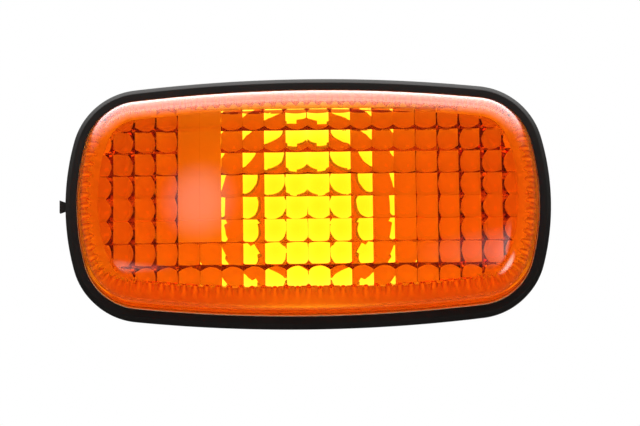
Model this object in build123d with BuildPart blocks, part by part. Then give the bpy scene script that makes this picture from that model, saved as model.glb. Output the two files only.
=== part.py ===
from build123d import *
import math
import os

os.makedirs("parts", exist_ok=True)

# A fender turn signal lamp. The lens looks along -Y, the long axis lies along X, and Z is up.
# The origin is the middle of the gasket's rear face, where the lamp sits on the fender.
# A level is a distance in front of that seat, and a negative level lies behind the sheet.

# Outline of the gasket, made of four bowed sides and rounded corners
half_length = 43.0
half_height = 22.3
end_bow = 4.7
long_bow = 2.6
corner_radius = 12.5

# Gasket
gasket_thickness = 3.0
gasket_bevel = 0.8
gasket_border = 2.1
gasket_web = 1.2
tab_length = 1.1
tab_width = 1.4
tab_flare = 0.4
tab_thickness = 1.6

# Lens, as insets from its own outline and levels in front of the seat
lens_wall = 2.4
lens_draft = 12.0
lens_front = 13.6
crown_radius = 80.0
shoulder_radius = 4.5
inner_level = 10.0
blank_excess = 2.0

# Pillows and flutes moulded on the lens's inner side
pillow_width = 3.75
pillow_rise = 3.83
pillow_radius = 4.2
pillow_rows = 8
pillow_columns = 20
pillow_root = 0.4
bank_border = 4.9
window_columns = (4, 5)
window_low_row = 2
flute_pitch = 1.875
flute_radius = 0.5
flute_foot = 1.6
flute_bury = 0.3

# Welded joint between lens and housing
flange_thickness = 2.0
weld_inset = 1.0
weld_width = 0.8
weld_depth = 1.2
weld_clearance = 0.1

# Housing
flange_clearance = 0.15
body_inset = 2.4
body_wall = 2.0
body_draft = 3.0
body_rear = 14.5
floor_thickness = 2.0
rear_edge_radius = 1.5
web_clearance = 0.3

# Bulb holder's seat in the housing
bulb_bore_radius = 12.0
collar_wall = 2.0
collar_length = 5.0
bayonet_notches = 3
notch_width = 4.5
notch_depth = 1.1
gusset_thickness = 1.5
gusset_angle = 22.0
gusset_height = 3.5
gusset_run = 6.0

# Fastening to the fender's sheet: a fixed hook at one end, a spring tongue at the other
sheet_thickness = 0.9
sheet_clearance = 0.3
hook_reach = 4.0
hook_thickness = 2.0
hook_width = 12.0
tongue_width = 10.0
tongue_thickness = 1.4
tongue_gap = 1.8
tongue_catch = 1.6
tongue_catch_depth = 1.0
tongue_catch_slope = 3.0
tongue_bevel = 1.0
tongue_root = 3.0

# Worked out from the sizes above
corner_reach = half_length - end_bow
corner_rise = half_height - long_bow
long_radius = (corner_reach**2 + long_bow**2) / (2 * long_bow)
end_radius = (corner_rise**2 + end_bow**2) / (2 * end_bow)
long_centre_z = half_height - long_radius
end_centre_x = half_length - end_radius
flange_rear = gasket_web
flange_front = flange_rear + flange_thickness
lens_half_length = half_length - gasket_border
body_half_length = lens_half_length - body_inset
lens_lean = math.tan(math.radians(lens_draft))
half_diagonal = math.hypot(pillow_width, pillow_rise) / 2
pillow_height = pillow_radius - math.sqrt(pillow_radius**2 - half_diagonal**2)
body_shrink = (flange_rear + body_rear) * math.tan(math.radians(body_draft))
collar_rear = body_rear + collar_length
hook_front = sheet_thickness + sheet_clearance


def oval(level, inset):
    """Draws the lamp's outline, smaller by the inset, at a level in front of the seat."""
    long_reach = long_radius - inset
    end_reach = end_radius - inset
    span = math.hypot(end_centre_x, long_centre_z)
    along = (long_reach**2 - end_reach**2 + span**2) / (2 * span)
    aside = math.sqrt(long_reach**2 - along**2)
    corner_x = (along * end_centre_x - aside * long_centre_z) / span
    corner_z = long_centre_z - (along * long_centre_z + aside * end_centre_x) / span
    with BuildSketch(Plane.XZ.offset(level)) as outline:
        with BuildLine():
            ThreePointArc((-corner_x, corner_z), (0, half_height - inset), (corner_x, corner_z))
            ThreePointArc((corner_x, corner_z), (half_length - inset, 0), (corner_x, -corner_z))
            ThreePointArc((corner_x, -corner_z), (0, inset - half_height), (-corner_x, -corner_z))
            ThreePointArc((-corner_x, -corner_z), (inset - half_length, 0), (-corner_x, corner_z))
        make_face()
        fillet(outline.vertices(), corner_radius - inset)
    return outline.sketch


def drafted(level, inset, end_level, end_inset):
    """Gives the two outlines between which a drafted wall runs straight."""
    return [oval(level, inset), oval(end_level, end_inset)]


# One pillow: a block cut from a sphere, bulging towards the bulb
with BuildPart() as pillow:
    with BuildSketch(Plane.XY.offset(pillow_root)):
        Rectangle(pillow_width, pillow_rise)
    extrude(amount=-(pillow_root + pillow_height))
    with Locations((0, 0, pillow_radius - pillow_height)):
        Sphere(pillow_radius, rotation=(90, 0, 0), mode=Mode.INTERSECT)

# Middles of the pillows in the bank, with the plain window left bare
pillow_centres = []
for column in range(pillow_columns):
    for row in range(pillow_rows):
        x = (column - (pillow_columns - 1) / 2) * pillow_width
        z = (row - (pillow_rows - 1) / 2) * pillow_rise
        in_window = column in window_columns and row >= window_low_row
        if not in_window:
            pillow_centres.append((x, z))

# The whole bank of pillows, trimmed to an outline that stays clear of the side walls
with BuildPart() as pillow_bank:
    with Locations(Plane.XZ.offset(inner_level)):
        with Locations(*pillow_centres):
            add(pillow.part)
    extrude(oval(flange_front, gasket_border + bank_border), amount=lens_front, mode=Mode.INTERSECT)

# Places of the flutes around the foot of the lens's inner side wall, leaning with it.
# Their far ends are buried in the front wall.
flute_ring = oval(flange_front, gasket_border + lens_wall).faces()[0].outer_wire()
flute_count = round(flute_ring.length / flute_pitch)
flute_rise = inner_level + flute_bury - flange_front
flute_length = flute_rise / math.cos(math.radians(lens_draft)) - flute_foot
forward = Vector(0, -1, 0)
flute_places = []
for index in range(flute_count):
    foot = flute_ring.position_at(index / flute_count)
    along = flute_ring.tangent_at(index / flute_count)
    inward = along.cross(forward)
    if inward.dot(Vector(foot.X, 0, foot.Z)) > 0:
        inward = inward * -1
    leaning = (forward + inward * lens_lean).normalized()
    flute_places.append(Plane(foot + leaning * flute_foot, x_dir=along, z_dir=leaning))

# Lens: drafted side walls, crowned front, rounded shoulder and welding tongue
with BuildPart() as lens:
    blank_level = lens_front + blank_excess
    blank_inset = gasket_border + (blank_level - flange_front) * lens_lean
    loft(drafted(flange_front, gasket_border, blank_level, blank_inset), ruled=True)
    with Locations((0, crown_radius - lens_front, 0)):
        Cylinder(crown_radius, 4 * half_length, rotation=(0, 90, 0), mode=Mode.INTERSECT)
    front_face = lens.faces().sort_by(Axis.Y)[0]
    fillet(front_face.edges(), shoulder_radius)
    ceiling_inset = gasket_border + lens_wall + (inner_level - flange_front) * lens_lean
    cavity = drafted(flange_front, gasket_border + lens_wall, inner_level, ceiling_inset)
    loft(cavity, ruled=True, mode=Mode.SUBTRACT)
    add(pillow_bank.part)
    with Locations(*flute_places):
        Cylinder(flute_radius, flute_length, align=(Align.CENTER, Align.CENTER, Align.MIN))
    tongue_ring = oval(flange_front, gasket_border + weld_inset) - oval(
        flange_front, gasket_border + weld_inset + weld_width
    )
    extrude(tongue_ring, amount=-weld_depth)
lens.part.label = "lens"
export_step(lens.part, "parts/lens.step")

# Housing: flange with a welding groove, drafted tray, collar for the bulb holder
with BuildPart() as housing:
    extrude(oval(flange_rear, gasket_border + flange_clearance), amount=flange_thickness)
    tray_inset = gasket_border + body_inset
    loft(drafted(flange_rear, tray_inset, -body_rear, tray_inset + body_shrink), ruled=True)
    rear_face = housing.faces().sort_by(Axis.Y)[-1]
    fillet(rear_face.edges(), rear_edge_radius)
    hollow_inset = tray_inset + body_wall
    floor_level = floor_thickness - body_rear
    hollow = drafted(flange_front, hollow_inset, floor_level, hollow_inset + body_shrink)
    loft(hollow, ruled=True, mode=Mode.SUBTRACT)
    groove_ring = oval(flange_front, gasket_border + weld_inset - weld_clearance) - oval(
        flange_front, gasket_border + weld_inset + weld_width + weld_clearance
    )
    extrude(groove_ring, amount=-(weld_depth + weld_clearance), mode=Mode.SUBTRACT)

    # Collar, gussets and the bulb holder's bore with its bayonet notches
    with BuildSketch(Plane.XZ.offset(-body_rear)):
        Circle(bulb_bore_radius + collar_wall)
    extrude(amount=-collar_length)
    with BuildSketch(Plane.XZ.offset(-body_rear)):
        for side in (0, 180):
            for lean in (-gusset_angle, gusset_angle):
                with PolarLocations(bulb_bore_radius + collar_wall, 1, side + lean):
                    Rectangle(2 * gusset_run, gusset_thickness)
    extrude(amount=-gusset_height)
    with BuildSketch(Plane.XZ.offset(-collar_rear)):
        Circle(bulb_bore_radius)
        with PolarLocations(bulb_bore_radius, bayonet_notches, 90):
            Rectangle(2 * notch_depth, notch_width)
    extrude(amount=collar_length + floor_thickness, mode=Mode.SUBTRACT)

    # Fixed hook at the left end, behind the fender's sheet
    wall_x = body_half_length - (hook_front + hook_thickness) * math.tan(math.radians(body_draft))
    with BuildSketch(Plane.XY):
        with BuildLine():
            Polyline(
                (-wall_x + body_wall / 2, hook_front),
                (-wall_x - hook_reach + hook_thickness / 2, hook_front),
                (-wall_x - hook_reach, hook_front + hook_thickness / 2),
                (-wall_x - hook_reach, hook_front + hook_thickness),
                (-wall_x + body_wall / 2, hook_front + 2 * hook_thickness),
                close=True,
            )
        make_face()
    extrude(amount=hook_width / 2, both=True)

    # Spring tongue at the right end, rooted at the tray's rear edge
    root_x = body_half_length - body_rear * math.tan(math.radians(body_draft)) - body_wall / 2
    arm_x = body_half_length + tongue_gap
    with BuildSketch(Plane.XY):
        with BuildLine():
            Polyline(
                (root_x, body_rear - rear_edge_radius),
                (root_x, body_rear - rear_edge_radius - tongue_root),
                (arm_x - tongue_thickness, body_rear - rear_edge_radius - tongue_root),
                (arm_x - tongue_thickness, hook_front),
                (arm_x, hook_front),
                (arm_x + tongue_catch, hook_front + tongue_catch_depth),
                (arm_x + tongue_catch, hook_front + 2 * tongue_catch_depth),
                (arm_x, hook_front + 2 * tongue_catch_depth + tongue_catch_slope),
                (arm_x, body_rear - rear_edge_radius - tongue_bevel),
                (arm_x - tongue_bevel, body_rear - rear_edge_radius),
                close=True,
            )
        make_face()
    extrude(amount=tongue_width / 2, both=True)
housing.part.label = "housing"
export_step(housing.part, "parts/housing.step")

# Gasket: rubber ring around the lens, with a web under the housing's flange
with BuildPart() as gasket:
    extrude(oval(0, 0), amount=gasket_thickness)
    front_rim = gasket.faces().sort_by(Axis.Y)[0]
    chamfer(front_rim.edges(), gasket_bevel)
    seat_ring = oval(gasket_web, gasket_border)
    extrude(seat_ring, amount=gasket_thickness - gasket_web, mode=Mode.SUBTRACT)
    opening = oval(0, gasket_border + body_inset - web_clearance)
    extrude(opening, amount=gasket_web, mode=Mode.SUBTRACT)
    with BuildSketch(Plane.XZ):
        with BuildLine():
            Polyline(
                (-half_length + gasket_bevel, tab_width / 2),
                (-half_length, tab_width / 2),
                (-half_length - tab_length, tab_width / 2 + tab_flare),
                (-half_length - tab_length, -tab_width / 2 - tab_flare),
                (-half_length, -tab_width / 2),
                (-half_length + gasket_bevel, -tab_width / 2),
                close=True,
            )
        make_face()
    extrude(amount=tab_thickness)
gasket.part.label = "gasket"
export_step(gasket.part, "parts/gasket.step")
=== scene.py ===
import bpy
import bmesh
import math
from mathutils import Matrix, Vector, noise


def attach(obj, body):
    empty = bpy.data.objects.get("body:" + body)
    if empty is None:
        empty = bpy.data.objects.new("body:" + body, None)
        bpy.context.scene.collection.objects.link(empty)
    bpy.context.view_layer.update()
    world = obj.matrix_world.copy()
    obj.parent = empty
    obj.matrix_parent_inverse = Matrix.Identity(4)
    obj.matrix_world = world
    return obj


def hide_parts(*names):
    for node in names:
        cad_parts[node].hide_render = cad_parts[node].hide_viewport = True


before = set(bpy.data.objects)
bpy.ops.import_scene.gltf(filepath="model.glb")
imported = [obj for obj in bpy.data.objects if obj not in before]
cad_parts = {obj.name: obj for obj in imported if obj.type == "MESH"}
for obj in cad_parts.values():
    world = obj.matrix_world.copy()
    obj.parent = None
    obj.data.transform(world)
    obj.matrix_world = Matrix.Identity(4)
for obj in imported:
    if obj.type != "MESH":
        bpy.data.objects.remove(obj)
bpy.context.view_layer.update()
print("frame loaded")

mm = 0.001

# All lengths below are millimetres. A level is a distance in front of the fender (towards -Y).
outline = {
    "halfLength": 43.0,      # gasket, outer edge
    "halfHeight": 22.3,
    "endBow": 4.7,           # how far the short sides bulge
    "longBow": 2.6,          # how far the long sides bulge
    "cornerRadius": 12.5,
    "steps": 448,            # points around each ring
}

lensShape = {
    "border": 2.1,           # gasket showing around the lens
    "wall": 2.4,
    "draft": 12.0,           # degrees
    "seatLevel": 3.2,
    "frontLevel": 13.6,
    "crownRadius": 80.0,
    "shoulderRadius": 4.5,
    "shoulderRun": 0.6,      # from the shoulder's end to the first ring of the front
    "shoulderSteps": 14,
    "frontRings": 16,
    "innerLevel": 10.0,
    "lowWallExtra": 1.0,     # how much thicker the lower side wall is
    "lowWallStart": 11.0,    # it grows from this far below the middle
    "lowWallRun": 4.0,
    "ceilingOverlap": 0.5,   # how far the cavity's tool passes the die's face
    "mouthOverlap": 1.5,
    "brow": 1.4,             # extra thickness of the front wall around the bank of pillows
    "weldInset": 1.0,
    "weldWidth": 0.8,
    "weldDepth": 1.2,
    "smooth": 32,            # edges sharper than this many degrees stay sharp
}

pillows = {
    "pitch": 3.75,           # along the lamp
    "rise": 3.83,            # from row to row
    "radius": 4.2,
    "acrossBow": 110.0,      # the pillows step back on these radii
    "alongBow": 600.0,
    "ridgeNear": 0.35,       # width of the slanted ridge at the middle of an outer pillow's inner edge
    "ridgeFar": 1.3,         # and at its corners
    "ridgeSlope": 1.0,
    "ridgeKnee": 0.15,       # share of the cell whose mesh lines follow the ridge
    "endStart": 19.0,        # the columns' ridges begin this far from the middle
    "endRun": 12.0,          # and are full after this length
    "edgeMiddle": -2.0,      # the rows' ridges are measured from this height
    "edgeStart": 6.0,
    "edgeRun": 6.0,
    "upperShare": 0.7,       # largest ridge of the upper rows, as a share of the full one
    "lowerShare": 0.8,
    "tiltHeight": 14.0,      # height at which the tilt is full
    "topTilt": 0.38,         # slope of the topmost pillows
    "unevenness": 0.03,      # slope that the toolmaker's hand leaves in each pillow
    "ripple": 0.012,
    "scatter": 1.3,          # how fast the unevenness changes from pillow to pillow
    "rows": 8,
    "columns": 20,
    "windowColumns": (4, 5),
    "windowLowRow": 2,
    "steps": (               # mesh lines across one pillow, as shares of it
        -0.5, -0.494, -0.45, -0.4, -0.35, -0.3, -0.2, -0.1,
        0.0, 0.1, 0.2, 0.3, 0.35, 0.4, 0.45, 0.494,
    ),
    "margin": 1,             # plain cells around the bank
    "border": 4.9,           # from the lens's outline to the bank's
    "dieReach": 1.0,         # how far the die passes the lens's outline
}

flutes = {
    "pitch": 1.875,
    "depth": 0.5,
    "start": 3.2,            # the flutes fade in from this far above the seat
    "fade": 1.8,
    "share": 0.93,           # length around the cavity over the outline's
    "steps": 12,             # mesh steps across one flute
    "wallRows": 8,
}

housingShape = {
    "clearance": 0.15,
    "gap": 0.04,             # air under the lens's seat, so that light reaches the flange
    "flange": 2.0,
    "bodyInset": 2.4,
    "wall": 2.0,
    "draft": 3.0,
    "rear": 14.5,
    "floor": 2.0,
    "edgeRadius": 1.5,
    "edgeSteps": 8,
    "innerRadius": 1.0,
    "innerSteps": 6,
    "floorRun": 4.0,         # plain floor after the inner corner
    "rearRun": 5.0,          # plain rear face after the outer edge
    "grooveGap": 0.1,
    "edgeBreak": 0.15,
    "soft": 0.2,             # softened edges of what stands on the tray
    "root": 0.5,             # how far gussets reach into the tray
    "collarRoot": 1.0,
    "collarChamfer": 0.3,
    "boreOverlap": 1.0,      # how far a cutting tool passes the material
    "boreRadius": 12.0,
    "collarWall": 2.0,
    "collarLength": 5.0,
    "notches": 3,
    "notchWidth": 4.5,
    "notchDepth": 1.1,
    "gussetAngle": 22.0,
    "gussetThickness": 1.5,
    "gussetHeight": 3.5,
    "gussetRun": 6.0,
    "hookFront": 1.2,
    "hookReach": 4.0,
    "hookThickness": 2.0,
    "hookWidth": 12.0,
    "tongueWidth": 10.0,
    "tongueThickness": 1.4,
    "tongueGap": 1.8,
    "tongueCatch": 1.6,
    "tongueRoot": 3.0,
    "catchRise": 1.0,        # the catch's slope in front, its flat and its slope behind
    "catchFlat": 1.0,
    "catchFall": 3.0,
    "tongueBevel": 1.0,
    "smooth": 35,
}

gasketShape = {
    "thickness": 3.0,
    "bevel": 0.8,
    "web": 1.2,
    "clearance": 0.3,
    "edgeBreak": 0.15,
    "rearBreak": 0.12,
    "bevelRadius": 0.25,
    "bevelSteps": 5,
    "tabLength": 1.1,
    "tabWidth": 1.4,
    "tabFlare": 0.4,
    "tabThickness": 1.6,
    "smooth": 40,
}


# The outline is four bowed arcs joined by corner arcs. Every inset keeps the arcs' centres.
def outlineArcs():
    reach = outline["halfLength"] - outline["endBow"]
    rise = outline["halfHeight"] - outline["longBow"]
    longRadius = (reach ** 2 + outline["longBow"] ** 2) / (2 * outline["longBow"])
    endRadius = (rise ** 2 + outline["endBow"] ** 2) / (2 * outline["endBow"])
    longCentre = outline["halfHeight"] - longRadius
    endCentre = outline["halfLength"] - endRadius
    corner = outline["cornerRadius"]
    toLong = longRadius - corner
    toEnd = endRadius - corner
    span = math.hypot(endCentre, longCentre)
    along = (toLong ** 2 - toEnd ** 2 + span ** 2) / (2 * span)
    aside = math.sqrt(toLong ** 2 - along ** 2)
    cornerX = (along * endCentre - aside * longCentre) / span
    cornerZ = longCentre - (along * longCentre + aside * endCentre) / span
    low = math.atan2(cornerZ, cornerX - endCentre)
    high = math.atan2(cornerZ - longCentre, cornerX)
    arcs = []
    for quarter in range(4):
        flipX = -1 if quarter in (1, 2) else 1
        flipZ = -1 if quarter in (2, 3) else 1
        pieces = [
            ((endCentre, 0.0), endRadius, 0.0, low),
            ((cornerX, cornerZ), corner, low, high),
            ((0.0, longCentre), longRadius, high, math.pi / 2),
        ]
        if quarter in (1, 3):
            pieces.reverse()
        for centre, radius, start, stop in pieces:
            if flipX * flipZ < 0:
                start, stop = stop, start
            arcs.append(((centre[0] * flipX, centre[1] * flipZ), radius, start, stop, flipX, flipZ))
    return arcs


arcList = outlineArcs()
arcLengths = [abs(stop - start) * radius for centre, radius, start, stop, flipX, flipZ in arcList]
outlineLength = sum(arcLengths)


def outlinePoint(turn, inset):
    # Point on the outline, turn from 0 to 1, moved inwards by the inset.
    left = (turn % 1.0) * outlineLength
    index = 0
    while index < len(arcList) - 1 and left > arcLengths[index]:
        left -= arcLengths[index]
        index += 1
    centre, radius, start, stop, flipX, flipZ = arcList[index]
    angle = start + (stop - start) * left / arcLengths[index]
    return (
        centre[0] + flipX * (radius - inset) * math.cos(angle),
        centre[1] + flipZ * (radius - inset) * math.sin(angle),
    )


def place(x, z, level):
    return Vector((x * mm, -level * mm, z * mm))


def ramp(value, start, run):
    # Rises from 0 at the start to 1 after the run.
    return min(max((value - start) / run, 0.0), 1.0)


def softened(points, radius, steps):
    # Rounds the inner corners of a profile of (inset, level) points.
    result = [points[0]]
    for before, corner, after in zip(points, points[1:], points[2:]):
        toBefore = Vector(before) - Vector(corner)
        toAfter = Vector(after) - Vector(corner)
        half = toBefore.angle(toAfter) / 2
        cut = radius / math.tan(half)
        bisector = (toBefore.normalized() + toAfter.normalized()).normalized()
        middle = Vector(corner) + bisector * radius / math.sin(half)
        first = Vector(corner) + toBefore.normalized() * cut - middle
        last = Vector(corner) + toAfter.normalized() * cut - middle
        sweep = first.angle(last)
        for step in range(steps + 1):
            part = step / steps
            blend = (first * math.sin((1 - part) * sweep) + last * math.sin(part * sweep)) / math.sin(sweep)
            result.append(tuple(middle + blend))
    result.append(points[-1])
    return result


def sweptMesh(steps, rows, placed):
    # A grid wrapped around the lamp: placed(turn, row) gives each point.
    bm = bmesh.new()
    bmesh.ops.create_grid(bm, x_segments=steps, y_segments=rows - 1, size=1)
    for vert in bm.verts:
        turn = round((vert.co.x + 1) / 2 * steps) / steps
        row = round((vert.co.y + 1) / 2 * (rows - 1))
        vert.co = placed(turn % 1.0, row)
    bmesh.ops.remove_doubles(bm, verts=bm.verts, dist=1e-7)
    bmesh.ops.recalc_face_normals(bm, faces=bm.faces)
    return bm


def sweptRing(profile, border):
    # A closed section of (inset, level) points carried around the outline.
    def placed(turn, row):
        inset, level = profile[row]
        x, z = outlinePoint(turn, border + inset)
        return place(x, z, level)
    return sweptMesh(outline["steps"], len(profile), placed)


def newPiece(name, bm):
    mesh = bpy.data.meshes.new(name)
    bm.to_mesh(mesh)
    bm.free()
    piece = bpy.data.objects.new(name, mesh)
    bpy.context.scene.collection.objects.link(piece)
    return piece


def combined(piece, tools, operation):
    # Applies boolean modifiers and removes the tools.
    for tool in tools:
        modifier = piece.modifiers.new("combine", "BOOLEAN")
        modifier.operation = operation
        modifier.solver = "MANIFOLD"
        modifier.object = tool
    bpy.context.view_layer.update()
    evaluated = piece.evaluated_get(bpy.context.evaluated_depsgraph_get())
    result = bpy.data.meshes.new_from_object(evaluated)
    piece.modifiers.clear()
    piece.data = result
    for tool in tools:
        bpy.data.objects.remove(tool, do_unlink=True)
    return piece


def smoothShaded(piece, degrees):
    piece.data.polygons.foreach_set("use_smooth", [True] * len(piece.data.polygons))
    piece.data.set_sharp_from_angle(angle=math.radians(degrees))


# Lens blank: welding tongue, drafted wall, rounded shoulder, crowned front
lean = math.tan(math.radians(lensShape["draft"]))


def crownLevel(z):
    radius = lensShape["crownRadius"]
    return lensShape["frontLevel"] - radius + math.sqrt(radius ** 2 - z ** 2)


def lensSection(turn):
    border = lensShape["border"]
    seat = lensShape["seatLevel"]
    inset = (lensShape["frontLevel"] - seat) * lean
    for attempt in range(4):  # the wall ends at the crown's height there, which the wall's end sets
        z = outlinePoint(turn, border + inset)[1]
        inset = (crownLevel(z) - seat) * lean
    innerInset = inset + lensShape["shoulderRadius"] + lensShape["shoulderRun"]
    innerZ = outlinePoint(turn, border + innerInset)[1]
    corner = (inset, crownLevel(z))
    inner = (innerInset, crownLevel(innerZ))
    return softened([(0.0, seat), corner, inner], lensShape["shoulderRadius"], lensShape["shoulderSteps"])


def lensBlank():
    tongueInner = lensShape["weldInset"] + lensShape["weldWidth"]
    seat = lensShape["seatLevel"]
    tongueLevel = seat - lensShape["weldDepth"]
    under = [
        (tongueInner, seat),
        (tongueInner, tongueLevel),
        (lensShape["weldInset"], tongueLevel),
        (lensShape["weldInset"], seat),
    ]
    frontRings = lensShape["frontRings"]
    sectionLength = len(lensSection(0.0))
    rows = 1 + len(under) + sectionLength + frontRings
    sections = {}

    def placed(turn, row):
        if row == 0:
            return place(0, 0, seat)
        if row <= len(under):
            inset, level = under[row - 1]
            x, z = outlinePoint(turn, lensShape["border"] + inset)
            return place(x, z, level)
        if turn not in sections:
            sections[turn] = lensSection(turn)
        index = min(row - 1 - len(under), sectionLength - 1)
        inset, level = sections[turn][index]
        x, z = outlinePoint(turn, lensShape["border"] + inset)
        ring = row - len(under) - sectionLength
        if ring <= 0:
            return place(x, z, level)
        scale = 1 - ring / frontRings
        return place(x * scale, z * scale, crownLevel(z * scale))
    return newPiece("lensBlank", sweptMesh(outline["steps"], rows, placed))


def cavityPlug():
    # The hollow of the lens, with half-round flutes standing in from its side walls.
    count = round(outlineLength * flutes["share"] / flutes["pitch"])
    seat = lensShape["seatLevel"]
    top = lensShape["innerLevel"] + lensShape["ceilingOverlap"]
    bottom = seat - lensShape["mouthOverlap"]
    wallRows = flutes["wallRows"]
    rows = wallRows + 3

    def placed(turn, row):
        if row == 0:
            return place(0, 0, bottom)
        if row == rows - 1:
            return place(0, 0, top)
        level = bottom + (top - bottom) * (row - 1) / wallRows
        across = abs((turn * count) % 1.0 - 0.5) * flutes["pitch"]
        swell = math.sqrt(max(flutes["depth"] ** 2 - across ** 2, 0.0))
        rampIn = ramp(level - seat, flutes["start"], flutes["fade"])
        inset = lensShape["wall"] + max(level - seat, 0.0) * lean + swell * rampIn
        z = outlinePoint(turn, lensShape["border"] + inset)[1]
        inset += lensShape["lowWallExtra"] * ramp(-z, lensShape["lowWallStart"], lensShape["lowWallRun"])
        x, z = outlinePoint(turn, lensShape["border"] + inset)
        return place(x, z, level)
    return newPiece("cavityPlug", sweptMesh(count * flutes["steps"], rows, placed))


def ridged(off, middle, width, share, across):
    # Gives the edge that faces the lamp's middle a slanted ridge, wider towards the pillow's corners.
    # Returns the vertex's new offset, the offset where the pillow's level is read, and the run up the ridge.
    if share == 0.0:
        return off, off, 0.0
    side = math.copysign(1, middle)
    arc = share * (pillows["ridgeNear"] + (pillows["ridgeFar"] - pillows["ridgeNear"]) * (2 * across) ** 2)
    along = off * side + width / 2
    knee = pillows["ridgeKnee"] * width
    if along < knee - 1e-6:
        along *= arc / knee
    else:
        along = arc + (along - knee) / (width - knee) * (width - arc)
    return (along - width / 2) * side, (max(along, arc) - width / 2) * side, max(arc - along, 0.0)


def pillowDie():
    # The moulding die of the pillows: its face is the negative of the lens's inner side.
    # Each pillow has its own level, so a thin step stands between it and the next one.
    pitch = pillows["pitch"]
    rise = pillows["rise"]
    radius = pillows["radius"]
    margin = pillows["margin"]
    columns = pillows["columns"] + 2 * margin
    rows = pillows["rows"] + 2 * margin
    steps = pillows["steps"]
    count = len(steps)
    cornerDrop = math.sqrt(radius ** 2 - (pitch ** 2 + rise ** 2) / 4)
    bm = bmesh.new()
    bmesh.ops.create_grid(bm, x_segments=columns * count, y_segments=rows * count, size=1)
    for vert in bm.verts:
        stepX = round((vert.co.x + 1) / 2 * columns * count)
        stepZ = round((vert.co.y + 1) / 2 * rows * count)
        column, row = stepX // count - margin, stepZ // count - margin
        offX, offZ = steps[stepX % count] * pitch, steps[stepZ % count] * rise
        middleX = (column - (pillows["columns"] - 1) / 2) * pitch
        middleZ = (row - (pillows["rows"] - 1) / 2) * rise
        inBank = 0 <= column < pillows["columns"] and 0 <= row < pillows["rows"]
        inWindow = column in pillows["windowColumns"] and row >= pillows["windowLowRow"]
        level = lensShape["innerLevel"]
        if inBank:
            level -= middleX ** 2 / 2 / pillows["alongBow"] + middleZ ** 2 / 2 / pillows["acrossBow"]
        if inBank and not inWindow:
            largest = pillows["upperShare"] if middleZ > 0 else pillows["lowerShare"]
            towardsEnd = ramp(abs(middleX), pillows["endStart"], pillows["endRun"])
            towardsEdge = ramp(abs(middleZ - pillows["edgeMiddle"]), pillows["edgeStart"], pillows["edgeRun"])
            topX, topZ = offX, offZ
            offX, topX, ridgeX = ridged(topX, middleX, pitch, towardsEnd, topZ / rise)
            offZ, topZ, ridgeZ = ridged(topZ, middleZ, rise, min(towardsEdge, largest), topX / pitch)
            level -= math.sqrt(radius ** 2 - topX ** 2 - topZ ** 2) - cornerDrop
            level -= pillows["ridgeSlope"] * max(ridgeX, ridgeZ)
            level += pillows["topTilt"] * offZ * max(middleZ / pillows["tiltHeight"], 0.0) ** 3
            spot = middleX * pillows["scatter"], middleZ * pillows["scatter"]
            level += pillows["unevenness"] * offX * noise.noise((*spot, 4.0))
            level += pillows["unevenness"] * offZ * noise.noise((*spot, 9.0))
            level += pillows["ripple"] * noise.noise((middleX + offX, middleZ + offZ, 0.0))
        vert.co = place(middleX + offX, middleZ + offZ, level)
    walls = bmesh.ops.extrude_face_region(bm, geom=bm.faces[:])
    for item in walls["geom"]:
        if isinstance(item, bmesh.types.BMVert):
            item.co.y = 0.0
    bmesh.ops.recalc_face_normals(bm, faces=bm.faces)
    brow = lensShape["innerLevel"] - lensShape["brow"]
    inner, outer = pillows["border"], -pillows["dieReach"]
    section = [(inner, 0.0), (inner, brow), (outer, brow), (outer, 0.0), (inner, 0.0)]
    around = newPiece("dieFrame", sweptRing(section, lensShape["border"]))
    return combined(newPiece("pillowDie", bm), [around], "UNION")


lensPiece = lensBlank()
plug = cavityPlug()
die = pillowDie()
cavity = combined(plug, [die], "INTERSECT")
combined(lensPiece, [cavity], "DIFFERENCE")
lensPiece.name = "amberLens"
smoothShaded(lensPiece, lensShape["smooth"])
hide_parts("lens")
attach(lensPiece, "root")
print("lens made", len(lensPiece.data.polygons))


# Housing: the tray and its flange are one swept section, the collar and clips are added to it
def housingTray():
    h = housingShape
    seat = lensShape["seatLevel"]
    flangeRear = seat - h["flange"]
    shrink = (flangeRear + h["rear"]) * math.tan(math.radians(h["draft"]))
    tray = h["bodyInset"]
    inner = tray + h["wall"]
    floor = h["floor"] - h["rear"]
    grooveIn = lensShape["weldInset"] + lensShape["weldWidth"] + h["grooveGap"]
    grooveOut = lensShape["weldInset"] - h["grooveGap"]
    grooveLevel = seat - lensShape["weldDepth"] - h["grooveGap"]
    top = seat - h["gap"]
    edge, broken = h["clearance"], h["edgeBreak"]
    outside = [(tray, flangeRear), (tray + shrink, -h["rear"]), (tray + h["rearRun"], -h["rear"])]
    inside = [(inner + h["floorRun"], floor), (inner + shrink, floor), (inner, top)]
    outside = softened(outside, h["edgeRadius"], h["edgeSteps"])
    inside = softened(inside, h["innerRadius"], h["innerSteps"])
    rim = [
        (grooveIn, top), (grooveIn, grooveLevel), (grooveOut, grooveLevel), (grooveOut, top),
        (edge + broken, top), (edge, top - broken), (edge, flangeRear + broken), (edge + broken, flangeRear),
    ]
    section = inside + rim + outside

    def placed(turn, row):
        if row == 0:
            return place(0, 0, floor)
        if row == len(section) + 1:
            return place(0, 0, -h["rear"])
        inset, level = section[row - 1]
        x, z = outlinePoint(turn, lensShape["border"] + inset)
        return place(x, z, level)
    return newPiece("housingTray", sweptMesh(outline["steps"], len(section) + 2, placed))


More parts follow.
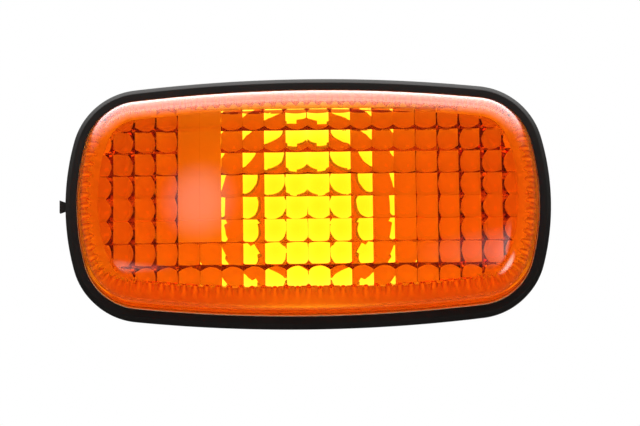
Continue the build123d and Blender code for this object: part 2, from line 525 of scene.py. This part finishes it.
def turnedTool(name, radius, low, high, chamfer=0.0):
    # A cylinder along Y between two depths behind the seat.
    bm = bmesh.new()
    bmesh.ops.create_cone(bm, cap_ends=True, segments=128, radius1=radius * mm, radius2=radius * mm,
                          depth=(high - low) * mm)
    if chamfer > 0:
        rims = [e for e in bm.edges if abs(e.verts[0].co.z - e.verts[1].co.z) < 1e-9 and e.verts[0].co.z < 0]
        bmesh.ops.bevel(bm, geom=rims, offset=chamfer * mm, offset_type="OFFSET", affect="EDGES", segments=3,
                        profile=0.5, material=-1)
    turnUp = Vector((0, 0, 1)).rotation_difference(Vector((0, -1, 0))).to_matrix()
    bmesh.ops.rotate(bm, cent=(0, 0, 0), matrix=turnUp, verts=bm.verts)
    bmesh.ops.translate(bm, vec=(0, (low + high) / 2 * mm, 0), verts=bm.verts)
    return newPiece(name, bm)


def blockTool(name, size, centre, angle=0.0, soft=0.0):
    # A block, turned about Y, with softened edges. Sizes and centre are X, Y, Z.
    bm = bmesh.new()
    bmesh.ops.create_cube(bm, size=1)
    bmesh.ops.scale(bm, vec=Vector(size) * mm, verts=bm.verts)
    if soft > 0:
        bmesh.ops.bevel(bm, geom=bm.edges[:], offset=soft * mm, offset_type="OFFSET", affect="EDGES", segments=3,
                        profile=0.5, material=-1)
    bmesh.ops.translate(bm, vec=Vector(centre) * mm, verts=bm.verts)
    turn = Vector((1, 0, 0)).rotation_difference(Vector((math.cos(angle), 0, math.sin(angle)))).to_matrix()
    bmesh.ops.rotate(bm, cent=(0, 0, 0), matrix=turn, verts=bm.verts)
    return newPiece(name, bm)


def profileTool(name, points, width, soft):
    # A profile of (x, y) points drawn on the middle plane and widened along Z.
    bm = bmesh.new()
    verts = [bm.verts.new((x * mm, y * mm, -width / 2 * mm)) for x, y in points]
    face = bm.faces.new(verts)
    grown = bmesh.ops.extrude_face_region(bm, geom=[face])
    moved = [item for item in grown["geom"] if isinstance(item, bmesh.types.BMVert)]
    bmesh.ops.translate(bm, vec=(0, 0, width * mm), verts=moved)
    bmesh.ops.recalc_face_normals(bm, faces=bm.faces)
    bmesh.ops.bevel(bm, geom=bm.edges[:], offset=soft * mm, offset_type="OFFSET", affect="EDGES", segments=2,
                    profile=0.5, material=-1)
    return newPiece(name, bm)


def housingAdded():
    h = housingShape
    rear = h["rear"]
    root = h["root"]
    collarRadius = h["boreRadius"] + h["collarWall"]
    added = [turnedTool("collar", collarRadius, rear - h["collarRoot"], rear + h["collarLength"], h["collarChamfer"])]
    reach = collarRadius - root
    for side in (0.0, math.pi):
        for tilt in (-1, 1):
            size = (h["gussetRun"] + root, h["gussetHeight"] + root, h["gussetThickness"])
            middle = (reach + size[0] / 2, rear + (h["gussetHeight"] - root) / 2, 0)
            added.append(blockTool("gusset", size, middle, side + tilt * math.radians(h["gussetAngle"]), h["soft"]))
    half = outline["halfLength"] - lensShape["border"] - h["bodyInset"]
    slope = math.tan(math.radians(h["draft"]))
    wall = half - (h["hookFront"] + h["hookThickness"]) * slope
    front = h["hookFront"]
    thick = h["hookThickness"]
    hook = [
        (-wall + h["wall"] / 2, front),
        (-wall - h["hookReach"] + thick / 2, front),
        (-wall - h["hookReach"], front + thick / 2),
        (-wall - h["hookReach"], front + thick),
        (-wall + h["wall"] / 2, front + 2 * thick),
    ]
    added.append(profileTool("hook", hook, h["hookWidth"], h["soft"]))
    inWall = half - rear * slope - h["wall"] / 2
    arm = half + h["tongueGap"]
    back = arm - h["tongueThickness"]
    catch = arm + h["tongueCatch"]
    end = rear - h["edgeRadius"]
    rise = front + h["catchRise"]
    flat = rise + h["catchFlat"]
    bevel = h["tongueBevel"]
    tongue = [
        (inWall, end), (inWall, end - h["tongueRoot"]), (back, end - h["tongueRoot"]), (back, front),
        (arm, front), (catch, rise), (catch, flat), (arm, flat + h["catchFall"]),
        (arm, end - bevel), (arm - bevel, end),
    ]
    added.append(profileTool("tongue", tongue, h["tongueWidth"], h["soft"]))
    return added


def housingCut():
    h = housingShape
    over = h["boreOverlap"]
    low = h["rear"] - h["floor"] - over
    high = h["rear"] + h["collarLength"] + over
    cut = [turnedTool("bore", h["boreRadius"], low, high)]
    for notch in range(h["notches"]):
        size = (h["notchDepth"] + over, high - low, h["notchWidth"])
        middle = (h["boreRadius"] + (h["notchDepth"] - over) / 2, (low + high) / 2, 0)
        cut.append(blockTool("notch", size, middle, math.pi / 2 + notch * 2 * math.pi / h["notches"]))
    return cut


housingPiece = housingTray()
combined(housingPiece, housingAdded(), "UNION")
combined(housingPiece, housingCut(), "DIFFERENCE")
housingPiece.name = "trayHousing"
smoothShaded(housingPiece, housingShape["smooth"])
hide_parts("housing")
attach(housingPiece, "root")
print("housing made", len(housingPiece.data.polygons))


# Gasket: one rubber section around the lamp, with its tab
def gasketRing():
    g = gasketShape
    border = lensShape["border"]
    hole = border + housingShape["bodyInset"] - g["clearance"]
    top, broken, rear = g["thickness"], g["edgeBreak"], g["rearBreak"]
    inner = [(hole, 0.0), (hole, g["web"]), (border, g["web"]), (border, top - broken), (border - broken, top)]
    bevel = [(border - broken, top), (g["bevel"], top), (0.0, top - g["bevel"]), (0.0, 0.0)]
    bevel = softened(bevel, g["bevelRadius"], g["bevelSteps"])
    section = inner + bevel[1:-1] + [(0.0, rear), (rear, 0.0), (hole, 0.0)]
    return newPiece("gasketRing", sweptRing(section, 0.0))


def gasketTab():
    g = gasketShape
    end = outline["halfLength"]
    narrow = g["tabWidth"] / 2
    wide = narrow + g["tabFlare"]
    sides = [(end - g["bevel"], narrow), (end, narrow), (end + g["tabLength"], wide)]
    bm = bmesh.new()
    corners = [(-x, z) for x, z in sides] + [(-x, -z) for x, z in reversed(sides)]
    face = bm.faces.new([bm.verts.new(place(x, z, 0)) for x, z in corners])
    grown = bmesh.ops.extrude_face_region(bm, geom=[face])
    moved = [item for item in grown["geom"] if isinstance(item, bmesh.types.BMVert)]
    bmesh.ops.translate(bm, vec=(0, -g["tabThickness"] * mm, 0), verts=moved)
    bmesh.ops.recalc_face_normals(bm, faces=bm.faces)
    return newPiece("gasketTab", bm)


gasketPiece = gasketRing()
combined(gasketPiece, [gasketTab()], "UNION")
gasketPiece.name = "rubberGasket"
smoothShaded(gasketPiece, gasketShape["smooth"])
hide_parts("gasket")
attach(gasketPiece, "root")
print("gasket made", len(gasketPiece.data.polygons))


# Materials
def linear(hexText):
    values = [int(hexText[i:i + 2], 16) / 255 for i in (0, 2, 4)]
    return [v / 12.92 if v <= 0.04045 else ((v + 0.055) / 1.055) ** 2.4 for v in values] + [1.0]


def addNode(tree, kind, settings=None, inputs=None, links=None):
    node = tree.nodes.new(kind)
    for key, value in (settings or {}).items():
        setattr(node, key, value)
    for key, value in (inputs or {}).items():
        node.inputs[key].default_value = value
    for key, socket in (links or {}).items():
        tree.links.new(socket, node.inputs[key])
    return node


def newMaterial(name):
    material = bpy.data.materials.new(name)
    material.use_nodes = True
    material.node_tree.nodes.clear()
    return material, material.node_tree


acrylic = {
    "tint": (0.998, 0.811, 0.0),  # red passes almost freely, green partly, blue not at all
    "density": 1230.0,
    "ior": 1.49,
    "roughness": 0.01,
    "satin": 0.5,            # roughness of the inner side walls
    "satinReach": 0.35,      # mm that the satin reaches into the wall
    "margin": 0.1,           # mm between the zones
    # painted shade: the dark brown that the ridges between the outer pillows are tinted with
    "paintedRidgeShade": "5A2810",
    "steep": 0.52,           # faces whose normal leans more than this are ridges
}

plastic = {
    "colour": "F2F1EC",
    "ior": 1.54,
    "roughness": 0.38,
    "grain": 0.12,           # mm
    "grainDepth": 0.02,      # mm
    "grainStrength": 0.12,
    "grainDetail": 2.0,
}

rubber = {
    "colour": "161311",
    "dust": "1E1B19",
    "ior": 1.52,
    "roughness": 0.55,
    "specular": 0.14,
    "pore": 0.09,            # mm
    "poreDepth": 0.03,       # mm
    "poreStrength": 0.3,
    "poreDetail": 3.0,
    "dustPatch": 6.0,        # mm
}


def insetFromOutline(tree, position):
    # Distance inwards from the gasket's outline in metres, worked out from the object's own coordinates.
    corner = outline["cornerRadius"] * mm
    flat = addNode(tree, "ShaderNodeVectorMath", {"operation": "MULTIPLY"}, {1: (1, 0, 1)}, {0: position})
    quarter = addNode(tree, "ShaderNodeVectorMath", {"operation": "ABSOLUTE"}, links={0: flat.outputs[0]})
    both = addNode(tree, "ShaderNodeCombineXYZ")
    for index, arc in enumerate((arcList[2], arcList[0])):  # the long side's arc and the end's
        (x, z), radius = arc[0], arc[1]
        reach = addNode(tree, "ShaderNodeVectorMath", {"operation": "DISTANCE"}, {1: (x * mm, 0, z * mm)},
                        {0: quarter.outputs[0]})
        past = addNode(tree, "ShaderNodeMath", {"operation": "SUBTRACT", "use_clamp": True},
                       {1: radius * mm - corner}, {0: reach.outputs["Value"]})
        tree.links.new(past.outputs[0], both.inputs[index])
    total = addNode(tree, "ShaderNodeVectorMath", {"operation": "LENGTH"}, links={0: both.outputs[0]})
    inset = addNode(tree, "ShaderNodeMath", {"operation": "SUBTRACT"}, {0: corner}, {1: total.outputs["Value"]})
    return inset.outputs[0]


# Amber acrylic, injection moulded: clear and glossy, its colour deepens along the light's way through it.
# The inner side walls are left satin by the mould, which spreads the light into an even orange rim.
# The ridges between the outer pillows get a dark brown base colour, a painted shade that makes them look dark.
def acrylicMaterial():
    material, tree = newMaterial("amberAcrylic")
    a = acrylic
    position = addNode(tree, "ShaderNodeTexCoord").outputs["Object"]
    surface = addNode(tree, "ShaderNodeNewGeometry").outputs["True Normal"]
    axes = addNode(tree, "ShaderNodeSeparateXYZ", links={0: position})
    inset = insetFromOutline(tree, position)
    bankEdge = lensShape["border"] + pillows["border"]
    outer = lensShape["border"] + lensShape["wall"] - a["satinReach"]
    inner = bankEdge - a["margin"]
    ceiling = lensShape["innerLevel"] + a["margin"]

    sideWall = addNode(tree, "ShaderNodeMath", {"operation": "COMPARE"},
                       {1: (outer + inner) / 2 * mm, 2: (inner - outer) / 2 * mm}, {0: inset})
    behindFront = addNode(tree, "ShaderNodeMath", {"operation": "GREATER_THAN"}, {1: -ceiling * mm},
                          {0: axes.outputs["Y"]})
    side = addNode(tree, "ShaderNodeMath", {"operation": "MULTIPLY"},
                   links={0: sideWall.outputs[0], 1: behindFront.outputs[0]})
    roughness = addNode(tree, "ShaderNodeMix", inputs={2: a["roughness"], 3: a["satin"]}, links={0: side.outputs[0]})

    # Painted shade: steep faces inside the bank of pillows take the dark ridge colour as their base colour.
    lean = addNode(tree, "ShaderNodeVectorMath", {"operation": "ABSOLUTE"}, links={0: surface})
    leans = addNode(tree, "ShaderNodeSeparateXYZ", links={0: lean.outputs[0]})
    most = addNode(tree, "ShaderNodeMath", {"operation": "MAXIMUM"},
                   links={0: leans.outputs["X"], 1: leans.outputs["Z"]})
    steep = addNode(tree, "ShaderNodeMath", {"operation": "GREATER_THAN"}, {1: a["steep"]}, {0: most.outputs[0]})
    inBank = addNode(tree, "ShaderNodeMath", {"operation": "GREATER_THAN"}, {1: (bankEdge + a["margin"]) * mm},
                     {0: inset})
    paintedRidgeShade = addNode(tree, "ShaderNodeMath", {"operation": "MULTIPLY"},
                    links={0: steep.outputs[0], 1: inBank.outputs[0]})
    tone = addNode(tree, "ShaderNodeMix", {"data_type": "RGBA"}, {6: (1, 1, 1, 1), 7: linear(a["paintedRidgeShade"])},
                   {0: paintedRidgeShade.outputs[0]})

    shader = addNode(tree, "ShaderNodeBsdfPrincipled", inputs={"IOR": a["ior"], "Transmission Weight": 1.0},
                     links={"Base Color": tone.outputs[2], "Roughness": roughness.outputs[0]})
    depth = addNode(tree, "ShaderNodeVolumeAbsorption", inputs={"Color": [*a["tint"], 1.0], "Density": a["density"]})
    addNode(tree, "ShaderNodeOutputMaterial", links={"Surface": shader.outputs[0], "Volume": depth.outputs[0]})
    return material


# White ABS, moulded in a fine-spark tool: soft sheen with a barely visible grain
def plasticMaterial():
    material, tree = newMaterial("whiteABS")
    position = addNode(tree, "ShaderNodeTexCoord").outputs["Object"]
    grain = addNode(tree, "ShaderNodeTexNoise",
                    inputs={"Scale": 1 / (plastic["grain"] * mm), "Detail": plastic["grainDetail"]},
                    links={"Vector": position})
    bump = addNode(tree, "ShaderNodeBump",
                   inputs={"Strength": plastic["grainStrength"], "Distance": plastic["grainDepth"] * mm},
                   links={"Height": grain.outputs["Fac"]})
    shader = addNode(tree, "ShaderNodeBsdfPrincipled", inputs={
        "Base Color": linear(plastic["colour"]),
        "Roughness": plastic["roughness"],
        "IOR": plastic["ior"],
    }, links={"Normal": bump.outputs["Normal"]})
    addNode(tree, "ShaderNodeOutputMaterial", links={"Surface": shader.outputs[0]})
    return material


# Black EPDM rubber, compression moulded: matt, with fine pores and a slightly dusty face
def rubberMaterial():
    material, tree = newMaterial("blackEPDM")
    position = addNode(tree, "ShaderNodeTexCoord").outputs["Object"]
    pores, dust = [
        addNode(tree, "ShaderNodeTexNoise", inputs={"Scale": 1 / (size * mm), "Detail": rubber["poreDetail"]},
                links={"Vector": position})
        for size in (rubber["pore"], rubber["dustPatch"])
    ]
    tone = addNode(tree, "ShaderNodeMix", {"data_type": "RGBA"},
                   {6: linear(rubber["colour"]), 7: linear(rubber["dust"])}, {0: dust.outputs["Fac"]})
    bump = addNode(tree, "ShaderNodeBump",
                   inputs={"Strength": rubber["poreStrength"], "Distance": rubber["poreDepth"] * mm},
                   links={"Height": pores.outputs["Fac"]})
    shader = addNode(tree, "ShaderNodeBsdfPrincipled", inputs={
        "Roughness": rubber["roughness"],
        "IOR": rubber["ior"],
        "Specular IOR Level": rubber["specular"],
    }, links={"Base Color": tone.outputs[2], "Normal": bump.outputs["Normal"]})
    addNode(tree, "ShaderNodeOutputMaterial", links={"Surface": shader.outputs[0]})
    return material


for piece, material in ((lensPiece, acrylicMaterial()), (housingPiece, plasticMaterial()),
                        (gasketPiece, rubberMaterial())):
    piece.data.materials.clear()
    piece.data.materials.append(material)
print("materials made")


# Floor and world: white for the camera and, behind the lamp, for what is seen through the lens
studio = {
    "floorLevel": -75.0,
    "floorHalf": 6.0,        # metres
    "floorColour": "F4F3F1",
    "floorRoughness": 0.8,
    "world": 0.45,           # what lights the plain surfaces
    "mirror": 0.04,          # what the lens mirrors
    "inside": 1.85,          # what comes in through the lens
    "backdrop": 1.05,
    "top": 2.4,
    "crown": 6.0,
    "front": 8.0,
    "milk": 2.4,             # the faint reflections on the front
    "lowerMilk": 3.0,
    "crescent": 9.6,
    "cardCore": 0.2,         # share of a card that glows fully
}


def floorPiece():
    bm = bmesh.new()
    bmesh.ops.create_grid(bm, x_segments=1, y_segments=1, size=studio["floorHalf"])
    bmesh.ops.translate(bm, vec=(0, 0, studio["floorLevel"] * mm), verts=bm.verts)
    floor = newPiece("paleFloor", bm)
    material, tree = newMaterial("paleFloor")
    shader = addNode(tree, "ShaderNodeBsdfPrincipled", inputs={
        "Base Color": linear(studio["floorColour"]),
        "Roughness": studio["floorRoughness"],
    })
    addNode(tree, "ShaderNodeOutputMaterial", links={"Surface": shader.outputs[0]})
    floor.data.materials.append(material)
    floor.visible_glossy = False
    floor.visible_transmission = False
    return floor


def whiteWorld():
    world = bpy.data.worlds.new("studioWorld")
    bpy.context.scene.world = world
    world.use_nodes = True
    tree = world.node_tree
    tree.nodes.clear()
    path = addNode(tree, "ShaderNodeLightPath")
    strength = None
    for kind, value in (("Is Glossy Ray", studio["mirror"]), ("Is Transmission Ray", studio["inside"]),
                        ("Is Camera Ray", 1.0)):
        mixed = addNode(tree, "ShaderNodeMix", inputs={2: studio["world"], 3: value}, links={0: path.outputs[kind]})
        if strength:
            tree.links.new(strength.outputs[0], mixed.inputs[2])
        strength = mixed
    background = addNode(tree, "ShaderNodeBackground", inputs={"Color": (1, 1, 1, 1)},
                         links={"Strength": strength.outputs[0]})
    addNode(tree, "ShaderNodeOutputWorld", links={"Surface": background.outputs[0]})


def softbox(name, centre, target, width, height, radiance):
    # An area lamp of even radiance. Power for a square lamp is radiance times area times pi.
    data = bpy.data.lights.new(name, "AREA")
    data.shape = "RECTANGLE"
    data.size = width
    data.size_y = height
    data.energy = radiance * width * height * math.pi
    lamp = bpy.data.objects.new(name, data)
    bpy.context.scene.collection.objects.link(lamp)
    lamp.location = centre
    lamp.rotation_euler = (Vector(target) - Vector(centre)).to_track_quat("-Z", "Y").to_euler()
    lamp.visible_camera = False
    return lamp


def softCard(name, centre, target, width, height, radiance):
    # A glowing card with a soft edge that only polished surfaces mirror.
    bm = bmesh.new()
    bmesh.ops.create_grid(bm, x_segments=1, y_segments=1, size=0.5)
    bmesh.ops.scale(bm, vec=(width, height, 1), verts=bm.verts)
    turn = (Vector(target) - Vector(centre)).to_track_quat("-Z", "Y").to_matrix()
    card = newPiece(name, bm)
    card.matrix_world = Matrix.Translation(centre) @ turn.to_4x4()
    material, tree = newMaterial(name)
    position = addNode(tree, "ShaderNodeTexCoord")
    scaled = addNode(tree, "ShaderNodeVectorMath", {"operation": "MULTIPLY"}, {1: (2 / width, 2 / height, 0)},
                     {0: position.outputs["Object"]})
    reach = addNode(tree, "ShaderNodeVectorMath", {"operation": "LENGTH"}, links={0: scaled.outputs[0]})
    fade = addNode(tree, "ShaderNodeMapRange", {"interpolation_type": "SMOOTHSTEP"},
                   {"From Min": 1.0, "From Max": studio["cardCore"]}, {"Value": reach.outputs["Value"]})
    glow = addNode(tree, "ShaderNodeEmission", inputs={"Strength": radiance})
    clear = addNode(tree, "ShaderNodeBsdfTransparent")
    mixed = addNode(tree, "ShaderNodeMixShader", links={0: fade.outputs[0], 1: clear.outputs[0], 2: glow.outputs[0]})
    addNode(tree, "ShaderNodeOutputMaterial", links={"Surface": mixed.outputs[0]})
    card.data.materials.append(material)
    for kind in ("camera", "diffuse", "transmission", "shadow"):
        setattr(card, "visible_" + kind, False)


floorPiece()
whiteWorld()
softbox("topBox", (0.0, -0.12, 0.5), (0, 0, 0), 0.9, 0.3, studio["top"])
frontBox = softbox("frontBox", (-0.3, -0.8, 0.35), (0, 0, 0), 0.3, 0.3, studio["front"])
frontBox.visible_glossy = False
softCards = (
    # name, centre, target, width, height, radiance
    ("crownCard", (0.0, 0.2, 0.5), (0, 0.2, 0), 2.6, 2.0, studio["crown"]),
    ("leftMilk", (-0.067, -0.9, 0.10), (-0.019, 0, 0), 0.05, 0.4, studio["milk"]),
    ("rightMilk", (0.17, -0.9, -0.14), (0.03, 0, 0), 0.24, 0.30, studio["lowerMilk"]),
    ("cornerMilk", (-0.13, -0.9, -0.22), (-0.03, 0, 0), 0.10, 0.10, studio["milk"]),
    ("crescentCard", (0.57, -0.64, -0.48), (0.035, 0, -0.012), 0.55, 0.6, studio["crescent"]),
)
for card in softCards:
    softCard(*card)
backdrop = softbox("backdrop", (0.0, 0.6, 0.0), (0, 0, 0), 3.0, 2.4, studio["backdrop"])
backdrop.visible_diffuse = False
backdrop.visible_glossy = False

# Camera: slightly below the lamp, as the photo's wider lower border shows
photoView = {
    "width": 640,            # pixels
    "height": 426,
    "mmPerPixel": 0.178,     # at the gasket
    "distance": 400.0,
    "sensor": 36.0,
    "nearest": 10.0,
    "elevation": -7.5,
    "roll": 0.72,
    "lampX": 308.4,          # pixel where the gasket's middle lies
    "lampY": 204.5,
}


def photoCamera():
    p = photoView
    data = bpy.data.cameras.new("photoCamera")
    camera = bpy.data.objects.new("photoCamera", data)
    bpy.context.scene.collection.objects.link(camera)
    bpy.context.scene.camera = camera
    lift = math.radians(p["elevation"])
    away = Vector((0, -math.cos(lift), math.sin(lift))) * p["distance"] * mm
    data.sensor_width = p["sensor"]
    data.lens = data.sensor_width * p["distance"] / (p["width"] * p["mmPerPixel"])
    data.clip_start = p["nearest"] * mm
    rotation = (-away).to_track_quat("-Z", "Y").to_matrix()
    right = rotation @ Vector((1, 0, 0))
    up = rotation @ Vector((0, 1, 0))
    pixel = p["mmPerPixel"] * mm
    middle = -right * (p["lampX"] - p["width"] / 2) * pixel + up * (p["lampY"] - p["height"] / 2) * pixel
    roll = math.radians(p["roll"])
    turned = rotation.to_4x4() @ Matrix.Rotation(-roll, 4, "Z")
    camera.matrix_world = Matrix.Translation(away + middle) @ turned


photoCamera()
bpy.context.scene.view_settings.view_transform = "Standard"
print("studio set")
